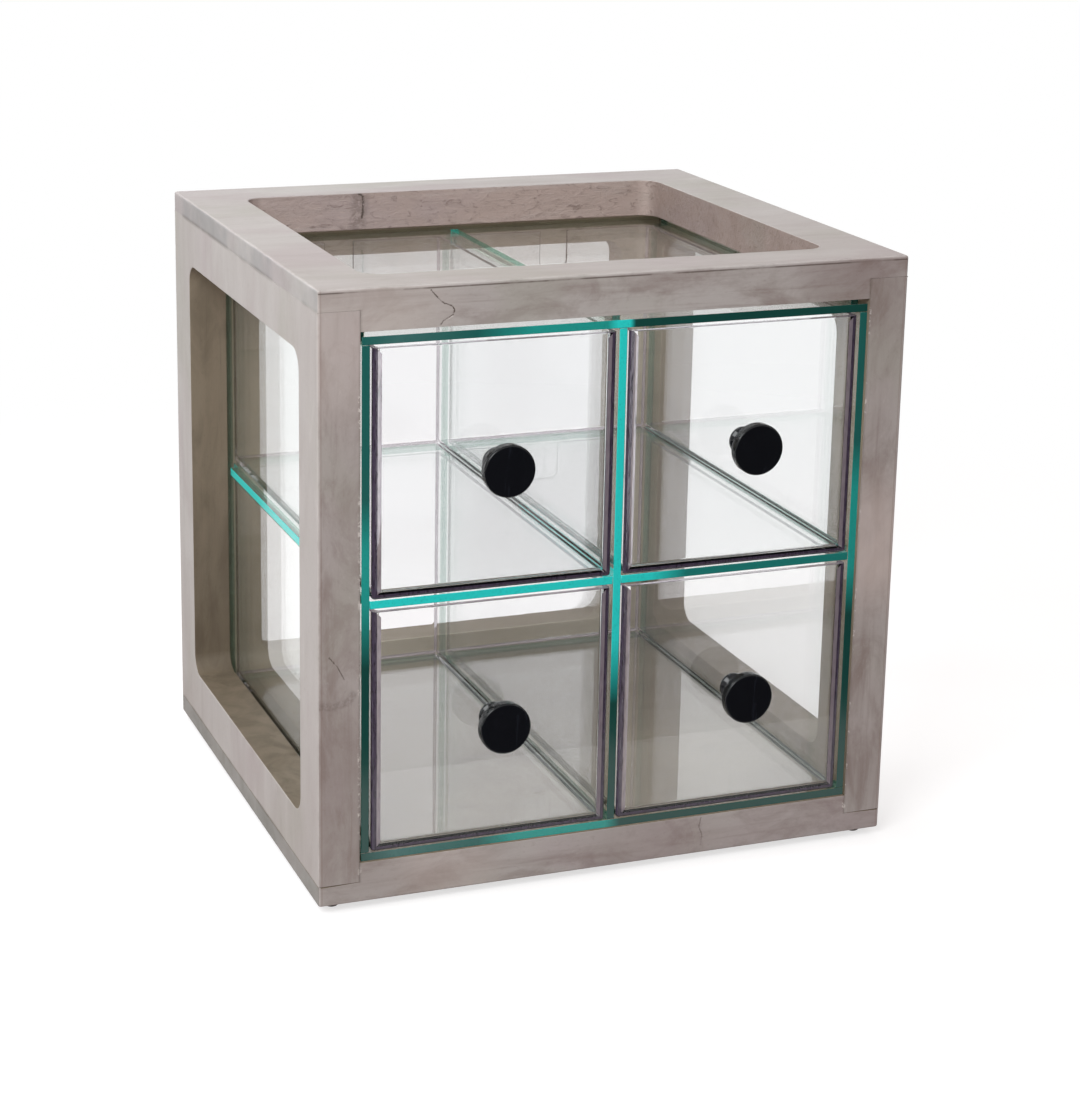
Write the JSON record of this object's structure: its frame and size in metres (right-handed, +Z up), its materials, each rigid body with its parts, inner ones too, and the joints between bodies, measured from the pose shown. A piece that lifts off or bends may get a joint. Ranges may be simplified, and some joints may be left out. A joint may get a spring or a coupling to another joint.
{
  "type": "bread display case",
  "caption": "Counter-top display case: a wooden box with windows, a clear liner that parts it into compartments, and clear drawers that slide out by black knobs.",
  "frame": {"origin": "on the counter's surface, under the middle of the object's box with its knobs", "axes": "+Z up, +X to the right of someone who faces the drawers, and the drawers pull out toward -Y"},
  "size_m": [0.368, 0.36, 0.373],
  "materials": {
    "wood": "matt grey wash on open grain",
    "acrylic": "clear sheet with green cut edges",
    "clear_plastic": "clear, polished",
    "black_plastic": "satin black",
    "brass": "turned",
    "steel": "zinc plated",
    "rubber": "matt"
  },
  "bodies": {
    "case": {"top_board": "wood", "bottom_board": "wood", "left_board": "wood", "right_board": "wood", "back_board": "wood", "liner_top": "acrylic", "liner_bottom": "acrylic", "liner_left": "acrylic", "liner_right": "acrylic", "divider": "acrylic", "shelf": "acrylic", "foot_front_left": "rubber", "foot_front_right": "rubber", "foot_back_left": "rubber", "foot_back_right": "rubber"},
    "lower_left_drawer": {"lower_left_bin": "clear_plastic", "lower_left_knob": "black_plastic", "lower_left_knob_insert": "brass", "lower_left_knob_screw": "steel", "lower_left_knob_washer": "steel"},
    "lower_right_drawer": {"lower_right_bin": "clear_plastic", "lower_right_knob": "black_plastic", "lower_right_knob_insert": "brass", "lower_right_knob_screw": "steel", "lower_right_knob_washer": "steel"},
    "upper_left_drawer": {"upper_left_bin": "clear_plastic", "upper_left_knob": "black_plastic", "upper_left_knob_insert": "brass", "upper_left_knob_screw": "steel", "upper_left_knob_washer": "steel"},
    "upper_right_drawer": {"upper_right_bin": "clear_plastic", "upper_right_knob": "black_plastic", "upper_right_knob_insert": "brass", "upper_right_knob_screw": "steel", "upper_right_knob_washer": "steel"}
  },
  "joints": [
    {"name": "lower_left_slide", "type": "slide", "parent": "case", "child": "lower_left_drawer", "axis": [0, -1, 0], "range_m": [0, 0.25]},
    {"name": "lower_right_slide", "type": "slide", "parent": "case", "child": "lower_right_drawer", "axis": [0, -1, 0], "range_m": [0, 0.25]},
    {"name": "upper_left_slide", "type": "slide", "parent": "case", "child": "upper_left_drawer", "axis": [0, -1, 0], "range_m": [0, 0.25]},
    {"name": "upper_right_slide", "type": "slide", "parent": "case", "child": "upper_right_drawer", "axis": [0, -1, 0], "range_m": [0, 0.25]}
  ]
}
